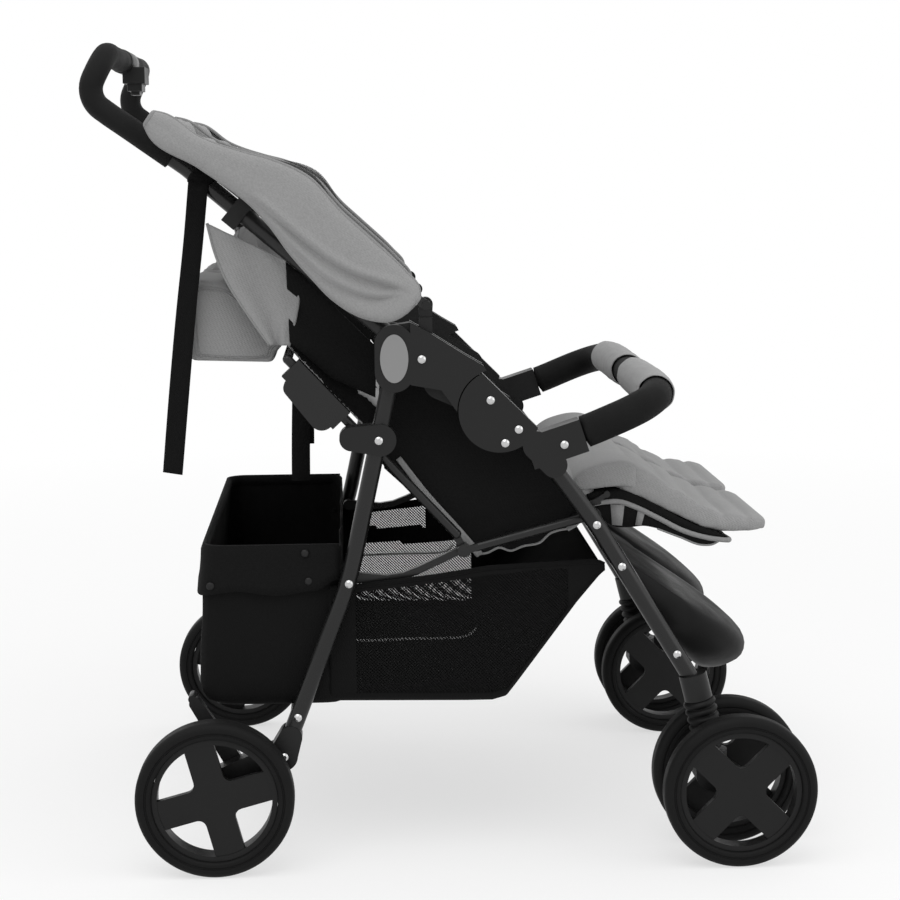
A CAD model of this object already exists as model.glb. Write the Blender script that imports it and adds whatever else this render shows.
# %% [markdown]
# # A twin pushchair with two seats side by side
# The CAD part brings the tubes, shells, wheels and hinges. This lesson dresses it:
# it adds the sewn covers, gives every hard piece a finish, and lights it as a studio does.
# All sizes are written in millimetres, as a maker would, and `MM` turns them into metres.

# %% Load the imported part
import math

import bmesh
import bpy
import numpy as np
from mathutils import Matrix, Vector, noise


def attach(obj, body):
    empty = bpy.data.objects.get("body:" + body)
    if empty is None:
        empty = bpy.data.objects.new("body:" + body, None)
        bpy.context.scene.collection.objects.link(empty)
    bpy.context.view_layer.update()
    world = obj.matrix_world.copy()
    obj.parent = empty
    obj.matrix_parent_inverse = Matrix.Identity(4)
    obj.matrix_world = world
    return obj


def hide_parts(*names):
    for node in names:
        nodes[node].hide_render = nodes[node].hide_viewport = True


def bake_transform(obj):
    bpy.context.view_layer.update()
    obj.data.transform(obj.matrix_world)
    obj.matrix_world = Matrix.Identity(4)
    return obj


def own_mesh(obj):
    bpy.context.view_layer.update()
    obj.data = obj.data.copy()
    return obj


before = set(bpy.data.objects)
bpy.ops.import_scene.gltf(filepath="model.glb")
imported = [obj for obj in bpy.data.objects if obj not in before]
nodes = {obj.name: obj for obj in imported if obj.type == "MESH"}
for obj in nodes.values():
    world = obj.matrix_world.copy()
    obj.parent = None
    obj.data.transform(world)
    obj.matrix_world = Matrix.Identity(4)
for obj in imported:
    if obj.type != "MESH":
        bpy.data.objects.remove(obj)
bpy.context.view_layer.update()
scene = bpy.context.scene
MM = 0.001
NEAR, FAR = -1, 1
SIDES = ((NEAR, "r"), (FAR, "l"))

# %% [markdown]
# ## The camera
# The picture was taken from the side, a little above the seats, with a long lens.
# A camera can be placed by eye, but here its turn, dip and tilt were worked out from the
# wheels and screws, so the axes are written as one matrix: right, up and backwards.

# %% Camera
YAW, DIP, TILT = (math.radians(a) for a in (2.84, 7.93, 0.46))
level_right = Vector((math.cos(YAW), -math.sin(YAW), 0))
level_ahead = Vector((math.sin(YAW), math.cos(YAW), 0))
ahead = level_ahead * math.cos(DIP) - Vector((0, 0, math.sin(DIP)))
level_down = -(Vector((0, 0, math.cos(DIP))) + level_ahead * math.sin(DIP))
right = level_right * math.cos(TILT) + level_down * math.sin(TILT)
down = level_down * math.cos(TILT) - level_right * math.sin(TILT)
camera = bpy.data.objects.new("camera", bpy.data.cameras.new("camera"))
camera.data.lens, camera.data.sensor_width = 81.94, 36
camera.matrix_world = Matrix((right, -down, -ahead)).transposed().to_4x4()
camera.location = (-0.128, -2.856, 0.887)
scene.collection.objects.link(camera)
scene.camera = camera
scene.view_settings.view_transform = "Standard"
print("camera lens", camera.data.lens, "at", tuple(camera.location))

# %% [markdown]
# ## Shared surface effects
# Woven cloth, moulded grain and a handled look come back on many pieces. Each is a node group
# with its own inputs, so one weave serves the grey covers and the black ones at different scales.
# A group only hands out heights, masks and colours. The shader stays in the material.


# %% Group helper
def effect(name, inputs, outputs):
    tree = bpy.data.node_groups.new(name, "ShaderNodeTree")
    for label, kind, value in inputs:
        tree.interface.new_socket(label, in_out="INPUT", socket_type=kind).default_value = value
    for label, kind in outputs:
        tree.interface.new_socket(label, in_out="OUTPUT", socket_type=kind)
    return tree, tree.nodes.new("NodeGroupInput"), tree.nodes.new("NodeGroupOutput")


def wire(tree, kind, values=(), **settings):
    """Adds a node, sets its options, and joins or sets its inputs."""
    made = tree.nodes.new(kind)
    for key, value in settings.items():
        setattr(made, key, value)
    for key, value in values:
        if isinstance(value, bpy.types.NodeSocket):
            tree.links.new(value, made.inputs[key])
        else:
            made.inputs[key].default_value = value
    return made


def maths(tree, operation, a, b=0.0, c=0.0):
    return wire(tree, "ShaderNodeMath", [(0, a), (1, b), (2, c)], operation=operation).outputs[0]


def mix_colours(tree, share, first, second):
    return wire(tree, "ShaderNodeMix", [("Factor", share), (6, first), (7, second)], data_type="RGBA").outputs[2]


FLOAT, COLOUR = "NodeSocketFloat", "NodeSocketColor"

# %% Weave: two sets of crossing threads
weave, win, wout = effect(
    "weave", [("Threads", FLOAT, 900.0)], [("Height", FLOAT), ("Fleck", FLOAT)]
)
place = wire(weave, "ShaderNodeTexCoord").outputs["Object"]
axes = wire(weave, "ShaderNodeSeparateXYZ", [(0, place)]).outputs
slant = maths(weave, "ADD", axes[0], axes[2])
cross = maths(weave, "SUBTRACT", axes[1], maths(weave, "MULTIPLY", axes[2], 0.6))
warp = maths(weave, "SINE", maths(weave, "MULTIPLY", slant, win.outputs["Threads"]))
weft = maths(weave, "SINE", maths(weave, "MULTIPLY", cross, win.outputs["Threads"]))
fleck = wire(weave, "ShaderNodeTexNoise", [("Vector", place), ("Scale", 420.0), ("Detail", 3.0)])
crossing = maths(weave, "MULTIPLY", warp, weft)
weave.links.new(maths(weave, "MULTIPLY_ADD", crossing, 0.5, 0.5), wout.inputs["Height"])
weave.links.new(fleck.outputs["Fac"], wout.inputs["Fleck"])

# %% Grain: the fine texture of a mould, or the pores of foam
grain, gin, gout = effect("grain", [("Scale", FLOAT, 600.0)], [("Height", FLOAT), ("Pores", FLOAT)])
place = wire(grain, "ShaderNodeTexCoord").outputs["Object"]
fine = wire(grain, "ShaderNodeTexNoise", [("Vector", place), ("Scale", gin.outputs["Scale"]), ("Detail", 4.0)])
pores = wire(grain, "ShaderNodeTexVoronoi", [("Vector", place), ("Scale", gin.outputs["Scale"])])
grain.links.new(fine.outputs["Fac"], gout.inputs["Height"])
grain.links.new(pores.outputs["Distance"], gout.inputs["Pores"])

# %% Handled: slow changes of tone, and a little dust on what faces up
handled, hin, hout = effect(
    "handled",
    [("Colour", COLOUR, (0.5, 0.5, 0.5, 1)), ("Worn", COLOUR, (0.6, 0.6, 0.6, 1)), ("Amount", FLOAT, 0.3)],
    [("Colour", COLOUR), ("Roughness", FLOAT)],
)
place = wire(handled, "ShaderNodeTexCoord").outputs["Object"]
cloud = wire(handled, "ShaderNodeTexNoise", [("Vector", place), ("Scale", 14.0), ("Detail", 5.0), ("Roughness", 0.6)])
spread = wire(handled, "ShaderNodeMapRange", [(0, cloud.outputs["Fac"]), (1, 0.35), (2, 0.7)])
upward = wire(handled, "ShaderNodeSeparateXYZ", [(0, wire(handled, "ShaderNodeNewGeometry").outputs["Normal"])])
dust = maths(handled, "MULTIPLY", maths(handled, "MAXIMUM", upward.outputs[2], 0.15), spread.outputs[0])
mask = maths(handled, "MULTIPLY", dust, hin.outputs["Amount"])
toned = mix_colours(handled, mask, hin.outputs["Colour"], hin.outputs["Worn"])
handled.links.new(toned, hout.inputs["Colour"])
handled.links.new(maths(handled, "MULTIPLY", spread.outputs[0], 0.25), hout.inputs["Roughness"])
print("effects:", [g.name for g in bpy.data.node_groups])

# %% [markdown]
# ## Finishes
# Cloth is matt with a soft sheen and a visible weave. The tubes are powder coated, so they are
# smooth with a slight orange peel, and the mouldings have a fine grain. Foam and rubber are
# the dullest of all. Every finish mixes two close tones, because no real black is one black.


# %% Finish helper
def finish_start(name):
    made = bpy.data.materials.new(name)
    made.use_nodes = True
    tree = made.node_tree
    return made, tree, tree.nodes["Principled BSDF"]


def place_group(tree, group, values=()):
    return wire(tree, "ShaderNodeGroup", values, node_tree=group)


def raise_surface(tree, shader, height, strength, distance):
    bump = wire(tree, "ShaderNodeBump", [("Height", height), ("Strength", strength), ("Distance", distance)])
    tree.links.new(bump.outputs[0], shader.inputs["Normal"])


def grey(level):
    return (level, level, level, 1)


def settle(shader, values):
    for key, value in values.items():
        shader.inputs[key].default_value = value


def cloth(name, tone, deep, threads=1500.0, sheen=0.15, relief=0.5, gloss=0.2):
    made, tree, shader = finish_start(name)
    woven = place_group(tree, weave, [("Threads", threads)])
    aged = place_group(tree, handled, [("Colour", grey(tone)), ("Worn", grey(tone * 1.12)), ("Amount", 0.5)])
    depth = wire(tree, "ShaderNodeMapRange", [(0, woven.outputs["Fleck"]), (1, 0.3), (2, 0.75), (3, 0.0), (4, 0.55)])
    toned = mix_colours(tree, depth.outputs[0], aged.outputs["Colour"], grey(deep))
    tree.links.new(toned, shader.inputs["Base Color"])
    settle(shader, {"Roughness": 0.88, "Sheen Weight": sheen, "Specular IOR Level": gloss})
    raise_surface(tree, shader, woven.outputs["Height"], relief, 0.0006)
    return made


def moulded(name, tone, worn, rough, scale=700.0, relief=0.12, gloss=0.2, metal=0.0, pores=False):
    made, tree, shader = finish_start(name)
    aged = place_group(tree, handled, [("Colour", grey(tone)), ("Worn", grey(worn)), ("Amount", 0.6)])
    tree.links.new(aged.outputs["Colour"], shader.inputs["Base Color"])
    tree.links.new(maths(tree, "ADD", aged.outputs["Roughness"], rough - 0.12), shader.inputs["Roughness"])
    settle(shader, {"Specular IOR Level": gloss, "Metallic": metal})
    texture = place_group(tree, grain, [("Scale", scale)])
    raise_surface(tree, shader, texture.outputs["Pores" if pores else "Height"], relief, 0.0008)
    return made


# %% Finishes of this pushchair
GREY_CLOTH = cloth("grey_cover_cloth", 0.285, 0.21)
PALE_CLOTH = cloth("pale_sleeve_cloth", 0.31, 0.24)
PIPING = cloth("edge_piping", 0.25, 0.18, threads=2600.0)
SEAM_TAPE = cloth("pale_seam_tape", 0.62, 0.5, threads=2600.0)
BLACK_CLOTH = cloth("black_cover_cloth", 0.008, 0.004, sheen=0.02, gloss=0.08)
WEBBING = cloth("black_webbing", 0.007, 0.004, threads=3200.0, sheen=0.02, relief=0.9, gloss=0.08)
TUBE_PAINT = moulded("black_powder_coat", 0.007, 0.012, 0.3, scale=420.0, relief=0.06, gloss=0.35)
PLASTIC = moulded("black_moulding", 0.009, 0.016, 0.42, scale=1100.0, relief=0.2, gloss=0.25)
WHEEL_PLASTIC = moulded("wheel_moulding", 0.008, 0.014, 0.45, scale=1100.0, relief=0.2, gloss=0.2)
TYRE_FOAM = moulded("tyre_foam", 0.007, 0.014, 0.62, scale=900.0, relief=0.35, gloss=0.12)
BOOT_RUBBER = moulded("boot_rubber", 0.006, 0.012, 0.5, scale=800.0, relief=0.2, gloss=0.15)
GRIP_FOAM = moulded("grip_foam", 0.007, 0.012, 0.7, scale=1500.0, relief=0.6, gloss=0.15, pores=True)
BUMPER_FOAM = moulded("bumper_cover", 0.007, 0.012, 0.7, scale=1300.0, relief=0.5, gloss=0.12, pores=True)
STEEL = moulded("screw_steel", 0.55, 0.42, 0.3, scale=300.0, relief=0.05, metal=1.0)
TRAY_PLASTIC = moulded("tray_moulding", 0.006, 0.01, 0.55, scale=1100.0, relief=0.2, gloss=0.14)
BADGE = moulded("bare_grey_oval", 0.22, 0.27, 0.4, scale=900.0, relief=0.1, gloss=0.4)


# %% Net: cloth with open diamonds where the mesh windows are
def net(name, tone, pitch, always, open_over=0.22):
    made, tree, shader = finish_start(name)
    place = wire(tree, "ShaderNodeTexCoord").outputs["Object"]
    axes = wire(tree, "ShaderNodeSeparateXYZ", [(0, place)]).outputs
    flat = maths(tree, "ADD", axes[0], axes[1])
    turns = 2 * math.pi / (pitch * MM)
    rise = maths(tree, "SINE", maths(tree, "MULTIPLY", maths(tree, "ADD", flat, axes[2]), turns))
    fall = maths(tree, "SINE", maths(tree, "MULTIPLY", maths(tree, "SUBTRACT", flat, axes[2]), turns))
    hole = maths(tree, "GREATER_THAN", maths(tree, "ABSOLUTE", maths(tree, "MULTIPLY", rise, fall)), open_over)
    if not always:
        window = wire(tree, "ShaderNodeAttribute", attribute_name="window").outputs["Fac"]
        hole = maths(tree, "MULTIPLY", hole, maths(tree, "GREATER_THAN", window, 0.5))
    tree.links.new(maths(tree, "SUBTRACT", 1.0, hole), shader.inputs["Alpha"])
    aged = place_group(tree, handled, [("Colour", grey(tone)), ("Worn", grey(tone * 1.7)), ("Amount", 0.5)])
    tree.links.new(aged.outputs["Colour"], shader.inputs["Base Color"])
    settle(shader, {"Roughness": 0.85, "Specular IOR Level": 0.08})
    woven = place_group(tree, weave, [("Threads", 1900.0)])
    raise_surface(tree, shader, woven.outputs["Height"], 0.4, 0.0006)
    return made


BASKET_CLOTH = net("black_basket_cloth", 0.007, 8.8, always=False, open_over=0.32)
HOOD_NET = net("dark_hood_net", 0.03, 5.0, always=True)
print("finishes:", len(bpy.data.materials))

# %% [markdown]
# ## Finishing the hard pieces
# The CAD nodes keep their shape. Each gets the finish of the real material, and a Bevel modifier
# takes the sharpness off the mouldings, because a moulded edge always has a small round that
# catches the light. Weld comes first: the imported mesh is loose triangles.

# %% Finish and soften the CAD nodes
FINISHES = {
    "push_bar front_legs rear_legs struts seat_rails back_tubes canopy_bow_r canopy_bow_l": TUBE_PAINT,
    "arm_shells knuckles handle_block fold_trigger canopy_stays leg_sockets rear_housings back_hooks "
    "brake_pedal_r brake_pedal_l caster_post_r caster_post_l caster_fork_r caster_fork_l": PLASTIC,
    "rim_fro rim_fri rim_fli rim_flo rim_rr rim_rl": WHEEL_PLASTIC,
    "tyre_fro tyre_fri tyre_fli tyre_flo tyre_rr tyre_rl": TYRE_FOAM,
    "arm_screws front_screws rear_screws": STEEL,
    "hub_badges": BADGE,
}
EDGE_TURN = math.radians(50)
ROUND_EDGE = {"arm_shells": 1.6, "knuckles": 1.6, "handle_block": 1.2, "fold_trigger": 1.2, "hub_badges": 0.8,
              "rear_housings": 1.6, "back_hooks": 2.0, "caster_fork_r": 1.8, "caster_fork_l": 1.8,
              "brake_pedal_r": 1.2, "brake_pedal_l": 1.2}
for names, finish in FINISHES.items():
    for name in names.split():
        piece = nodes[name]
        piece.data.materials.clear()
        piece.data.materials.append(finish)
        if name in ROUND_EDGE:
            weld = piece.modifiers.new("weld", "WELD")
            weld.merge_threshold = 0.02 * MM
            round_off = piece.modifiers.new("round_edges", "BEVEL")
            round_off.width, round_off.segments = ROUND_EDGE[name] * MM, 2
            round_off.limit_method, round_off.angle_limit = "ANGLE", EDGE_TURN
            round_off.use_clamp_overlap = round_off.harden_normals = True
print("finished CAD nodes:", sum(len(n.split()) for n in FINISHES))

# %% [markdown]
# ## Making one loop of points travel
# Sleeves, bellows, sheets and straps are all one loop or line of points that travels along a path.
# A modeller extrudes that loop again and again and moves each new copy, and `loft` does the same:
# a number kept on every vertex says which place in the loop it has.


# %% Loft, tube and smooth path
def loft(mesh, rings, closed=True, caps=True):
    place = mesh.verts.layers.int.get("place") or mesh.verts.layers.int.new("place")
    first = [mesh.verts.new(p) for p in rings[0]]
    for k, vert in enumerate(first):
        vert[place] = k
    count = len(first)
    loop = [mesh.edges.new((first[k], first[(k + 1) % count])) for k in range(count if closed else count - 1)]
    if closed and caps:
        bmesh.ops.contextual_create(mesh, geom=loop)
    for ring in rings[1:]:
        made = bmesh.ops.extrude_edge_only(mesh, edges=loop)["geom"]
        verts = {g for g in made if isinstance(g, bmesh.types.BMVert)}
        for vert in verts:
            vert.co = ring[vert[place]]
        loop = [g for g in made if isinstance(g, bmesh.types.BMEdge) and set(g.verts) <= verts]
    if closed and caps:
        bmesh.ops.contextual_create(mesh, geom=loop)


def smooth_path(points, count):
    """A curve through the points, at evenly spaced places along it."""
    p = np.array(points, float)
    t = np.concatenate([[0], np.cumsum(np.linalg.norm(np.diff(p, axis=0), axis=1))])
    slope = np.gradient(p, t, axis=0)
    at = np.linspace(0, t[-1], count)
    k = np.clip(np.searchsorted(t, at, side="right") - 1, 0, len(t) - 2)
    h = (t[k + 1] - t[k])[:, None]
    s = (at - t[k])[:, None] / h
    line = (p[k] * (2 * s**3 - 3 * s**2 + 1) + slope[k] * h * (s**3 - 2 * s**2 + s)
            + p[k + 1] * (3 * s**2 - 2 * s**3) + slope[k + 1] * h * (s**3 - s**2))
    return [Vector(q) for q in line]


def heading(path, i):
    """The way a path runs at its point i."""
    return (path[min(i + 1, len(path) - 1)] - path[max(i - 1, 0)]).normalized()


def tube_rings(path, radius, sides, seam=None):
    """Rings round a path. radius is a number or a function of the share of the way and the angle."""
    side = Vector(seam) if seam else Vector((0.31, 0.17, 0.94))
    rings, last = [], len(path) - 1
    for i, centre in enumerate(path):
        along = heading(path, i)
        side = (side - along * side.dot(along)).normalized()
        over = along.cross(side)
        turns = [2 * math.pi * k / sides for k in range(sides)]
        size = [radius(i / last, a) if callable(radius) else radius for a in turns]
        rings.append([centre + (side * math.cos(a) + over * math.sin(a)) * r for a, r in zip(turns, size)])
    return rings


def rounded_end(r, run, span):
    """Radius that rounds off both ends of a tube, for a share of the way."""
    def at(share, _angle):
        edge = min(share, 1 - share) * span
        return r * math.sqrt(max(1 - max(1 - edge / run, 0) ** 2, 0.02))
    return at


def make_piece(name, mesh, materials, body=None, levels=0, thickness=0.0):
    bmesh.ops.remove_doubles(mesh, verts=mesh.verts, dist=0.01 * MM)
    bmesh.ops.recalc_face_normals(mesh, faces=mesh.faces)
    data = bpy.data.meshes.new(name)
    mesh.to_mesh(data)
    mesh.free()
    data.polygons.foreach_set("use_smooth", [True] * len(data.polygons))
    piece = bpy.data.objects.new(name, data)
    scene.collection.objects.link(piece)
    for finish in materials if isinstance(materials, (list, tuple)) else [materials]:
        data.materials.append(finish)
    if thickness:
        wall = piece.modifiers.new("cloth_thickness", "SOLIDIFY")
        wall.thickness, wall.offset = thickness * MM, 0
    if levels:
        round_out = piece.modifiers.new("round_out", "SUBSURF")
        round_out.levels = round_out.render_levels = levels
    if body:
        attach(piece, body)
    return piece


def mm(*xyz):
    return Vector(xyz) * MM


def on_side_plane(points, count):
    """A smooth line through points that are given as x and z."""
    return smooth_path([(x, 0, z) for x, z in points], count)


def local_frame(x, z, lean):
    """Seat, back, leg rest and canopy each have their own direction: u along, y across, w up from it."""
    c, s = math.cos(math.radians(lean)), math.sin(math.radians(lean))
    turned = Matrix(((c, 0, -s), (0, 1, 0), (s, 0, c))).to_4x4()
    turned.translation = mm(x, 0, z)
    return turned


SEAT = local_frame(16, 401, 14.52)
BACK = local_frame(16, 401, 133)
CALF = local_frame(201.7, 465.6, -14)
HOOD = local_frame(-31, 716, 145)
print("helpers ready")

# %% [markdown]
# ## The wrist strap
# A band of webbing is sewn round the near push tube and hangs down its own length, with a turned
# and stitched end. It is cloth tape, so it is made as a flat ring that travels down the strap,
# with a slow sway from its own weight, and a second short band closes round the tube.

# %% Wrist strap
STRAP_W, STRAP_T, TURNED_END = 27, 1.6, 35
STRAP_SECTION = [(-1, 0), (-0.93, 1), (-0.5, 1), (0, 1), (0.5, 1), (0.93, 1),
                 (1, 0), (0.93, -1), (0.5, -1), (0, -1), (-0.5, -1), (-0.93, -1)]
across = Vector((0.9565, -0.2919, 0))
outward = Vector((-0.2919, -0.9565, 0))
tube_top = mm(-308, -244.1, 869.5)
strap_line = smooth_path([tube_top + (across * x + outward * y) * MM + mm(0, 0, z) for x, y, z in (
    (0, 13.2, 0), (-8, 13.4, -70), (-21, 12.8, -165), (-33, 12.6, -265), (-45, 12.4, -372))], 40)
mesh = bmesh.new()
rings = []
for i, centre in enumerate(strap_line):
    lean = heading(strap_line, i)
    flat = (across - lean * across.dot(lean)).normalized()
    twist = 0.05 * math.sin(i * 0.16)
    thin = lean.cross(flat)
    wide = flat * math.cos(twist) + thin * math.sin(twist)
    thick = STRAP_T * (1.9 if i > TURNED_END else 1.0)
    rings.append([centre + (wide * a * STRAP_W / 2 + thin * b * thick / 2) * MM for a, b in STRAP_SECTION])
loft(mesh, rings)
strap = make_piece("wrist_strap_band", mesh, WEBBING, "frame")
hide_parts("wrist_strap")
tube_dir = mm(-249, 76, 206).normalized()
mesh = bmesh.new()
loop_path = [tube_top + tube_dir * k * MM for k in np.linspace(-13.5, 13.5, 9)]
loft(mesh, tube_rings(loop_path, lambda s, a: (12.6 + 0.5 * math.cos(3 * a) * s) * MM, 28), caps=False)
strap_loop = make_piece("wrist_strap_loop", mesh, WEBBING, "frame", thickness=STRAP_T)
print("strap runs", round(sum((b - a).length for a, b in zip(strap_line, strap_line[1:])), 3), "m")

# %% [markdown]
# ## Ribbed boots over the springs
# Each front leg ends in a rubber bellows that hides the spring. A lathe makes such a thing,
# and in Blender that is Spin: one wavy profile turned round the strut's own axis.
# As the spring closes, the boot is pressed towards its upper end.

# %% Boots
BOOT_LEN, BOOT_R, BOOT_NECK, RIBS = 62, 21, 15.6, 6
STRUT_LEAN = math.radians(14)
strut_up = Vector((-math.sin(STRUT_LEAN), 0, math.cos(STRUT_LEAN)))
strut_out = Vector((math.cos(STRUT_LEAN), 0, math.sin(STRUT_LEAN)))
for side, tag in SIDES:
    foot = mm(330, 314 * side, 146)
    mesh = bmesh.new()
    steps = RIBS * 10
    profile = []
    for k in range(steps + 1):
        share = k / steps
        wave = abs(math.sin(share * RIBS * math.pi))
        r = BOOT_NECK + (BOOT_R - BOOT_NECK) * wave ** 0.6
        rise = 0.4 + share * (BOOT_LEN - 0.8)
        profile.append(mesh.verts.new(foot + (strut_up * rise + strut_out * r) * MM))
    edges = [mesh.edges.new(pair) for pair in zip(profile, profile[1:])]
    bmesh.ops.spin(mesh, geom=profile + edges, cent=foot, axis=strut_up, angle=2 * math.pi, steps=40, use_merge=True)
    boot = make_piece("bellows_" + tag, mesh, BOOT_RUBBER, "front_legs")
    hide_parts("boot_" + tag)
    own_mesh(boot)
print("boot ribs:", RIBS)

# %% [markdown]
# ## The bumper bar
# A bent tube in a thick foam cover pushes into a socket on each knuckle. The cover is one tube
# swept through the bends with rounded ends. Two cloth sleeves slip over it, one before each seat.
# They are cut at a slant where they end and are a little loose, so they carry fine wrinkles.

# %% Bumper foam
RISE, FOAM_R, SLEEVE_R = math.radians(18), 20.6, 23.2


def on_bumper(reach, y):
    """Along the arm of the bumper. Beyond its socket the arm bends up a little more."""
    return mm(140 + reach * math.cos(RISE), y, 544 + reach * math.sin(RISE) + 0.085 * max(reach - 30, 0))


half = [on_bumper(*place) for place in ((24, 314), (45, 314), (62, 314), (82, 313), (106, 304), (124, 284),
                                        (133, 256), (135.5, 215), (136, 120))]
mirrored = [Vector((p.x, -p.y, p.z)) for p in half]
bumper_line = smooth_path(mirrored + [on_bumper(136, 0)] + half[::-1], 150)
mesh = bmesh.new()
loft(mesh, tube_rings(bumper_line, rounded_end(FOAM_R * MM, 0.003, 0.79), 28))
for side in (NEAR, FAR):
    stub = smooth_path([on_bumper(k, 314 * side) for k in (-16, 4, 24, 40)], 8)
    loft(mesh, tube_rings(stub, 8 * MM, 20))
bumper = make_piece("bumper_foam", mesh, BUMPER_FOAM, "bumper")
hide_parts("bumper_bar")


# %% Bumper sleeves
mesh = bmesh.new()
SLEEVES = (("near", 27, 73), ("far", 77, 123))
for label, start, stop in SLEEVES:
    path = bumper_line[start:stop]
    rings = tube_rings(path, 1.0, 40, seam=(0, 0, 1))
    shaped = []
    for i, ring in enumerate(rings):
        share = i / (len(rings) - 1)
        centre = path[i]
        puff = SLEEVE_R + 1.3 * math.sin(math.pi * share)
        to_middle = share if label == "near" else 1 - share
        row = []
        for k, point in enumerate(ring):
            way = (point - centre).normalized()
            turn = k * math.pi / 20
            other = 7 if label == "far" else 0
            crease = noise.noise(Vector((share * 16, 3.1 * math.cos(turn), 3.1 * math.sin(turn) + other)))
            slant = 20 * (0.5 - 0.5 * way.x) * max(to_middle - 0.6, 0) / 0.4 * (-1 if label == "near" else 1)
            row.append(centre + (way * (puff + 0.9 * crease) + Vector((0, slant, 0))) * MM)
        shaped.append(row)
    loft(mesh, shaped, caps=False)
sleeves = make_piece("bumper_cloth_sleeves", mesh, PALE_CLOTH, "bumper", levels=1, thickness=2.0)
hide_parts("bumper_sleeves")
print("bumper line points:", len(bumper_line))

# %% [markdown]
# ## Foam grips of the handle
# The handle is one bent tube with a foam sleeve on each side and a release block in the middle.
# The foam follows the tube's own bends, so it is swept along the same points, and its open ends
# are rounded as cut foam is.

# %% Grips
GRIP_Y, BEND, BEND_R, CORNER_R = 238, (-414.0, 983.6), 30.0, 35.0
GRIP_FOOT, LOW_LEAN, TOP_LEAN = (-328.0, 886.0), math.radians(145), math.radians(65)


def on_bend(lean):
    """The point of the handle's bend where the tube leans so far."""
    across = lean + math.pi / 2
    return BEND[0] + BEND_R * math.cos(across), GRIP_Y, BEND[1] + BEND_R * math.sin(across)


start, end = on_bend(LOW_LEAN), on_bend(TOP_LEAN)
grip_line = [(GRIP_FOOT[0] + (start[0] - GRIP_FOOT[0]) * k, GRIP_Y, GRIP_FOOT[1] + (start[2] - GRIP_FOOT[1]) * k)
             for k in (0.14, 0.4, 0.7, 0.97)]
grip_line += [on_bend(lean) for lean in np.linspace(LOW_LEAN, TOP_LEAN, 9)[1:-1]]
for a in np.linspace(0, math.pi / 2, 9):
    grip_line.append((end[0] + CORNER_R * math.cos(TOP_LEAN) * math.sin(a), GRIP_Y - CORNER_R * (1 - math.cos(a)),
                      end[2] + CORNER_R * math.sin(TOP_LEAN) * math.sin(a)))
crossbar = grip_line[-1]
grip_line += [(crossbar[0], y, crossbar[2]) for y in (150, 100, 70, 46)]
for side, tag in ((NEAR, "near"), (FAR, "far")):
    path = smooth_path([mm(x, y * side, z) for x, y, z in grip_line], 90)
    mesh = bmesh.new()
    loft(mesh, tube_rings(path, rounded_end(15 * MM, 0.004, 0.42), 28))
    grip = make_piece("grip_foam_" + tag, mesh, GRIP_FOAM, "frame")
    if side == NEAR:
        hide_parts("grip_foam")
print("grips made")

# %% [markdown]
# ## Stuffed pads
# Seat, back and leg rest are covers stuffed with wadding and sewn through in rows. Each starts as a
# flat outline that is extruded, remeshed and softened. Cloth simulation then blows it up while the
# sewn rows and the board side stay put, so the cloth itself decides how it crowns and creases.
# One side is simulated and the other is its mirror image, as two covers cut from one pattern are.


# %% Pad helpers
def coords(data):
    flat = np.empty(len(data.vertices) * 3, np.float32)
    data.vertices.foreach_get("co", flat)
    return flat.reshape(-1, 3).astype(float)


def set_coords(data, points):
    data.vertices.foreach_set("co", points.astype(np.float32).ravel())
    data.update()


def prism(outline, low, high, frame_matrix, taper=None):
    """A flat outline given a thickness. taper gives the height of the top for a point of it."""
    mesh = bmesh.new()
    base = [mesh.verts.new((u * MM, y * MM, low * MM)) for u, y in outline]
    face = bmesh.ops.contextual_create(mesh, geom=base)["faces"][0]
    top = bmesh.ops.extrude_face_region(mesh, geom=[face])["geom"]
    for vert in (g for g in top if isinstance(g, bmesh.types.BMVert)):
        vert.co.z = (taper(vert.co.x / MM) if taper else high) * MM
    bmesh.ops.recalc_face_normals(mesh, faces=mesh.faces)
    bmesh.ops.transform(mesh, matrix=frame_matrix, verts=mesh.verts)
    return mesh


def remeshed(name, mesh, voxel, soften):
    """Even quads all over, then the hard edges relaxed."""
    rough = make_piece(name + "_rough", mesh, [])
    grid = rough.modifiers.new("even_quads", "REMESH")
    grid.mode, grid.voxel_size = "VOXEL", voxel * MM
    bpy.context.view_layer.update()
    even = bpy.data.meshes.new_from_object(rough.evaluated_get(bpy.context.evaluated_depsgraph_get()))
    bpy.data.objects.remove(rough)
    result = bmesh.new()
    result.from_mesh(even)
    bpy.data.meshes.remove(even)
    for _ in range(soften):
        bmesh.ops.smooth_vert(result, verts=result.verts, factor=0.5,
                              use_axis_x=True, use_axis_y=True, use_axis_z=True)
    return result


STUFFING_FRAMES = 20


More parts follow.
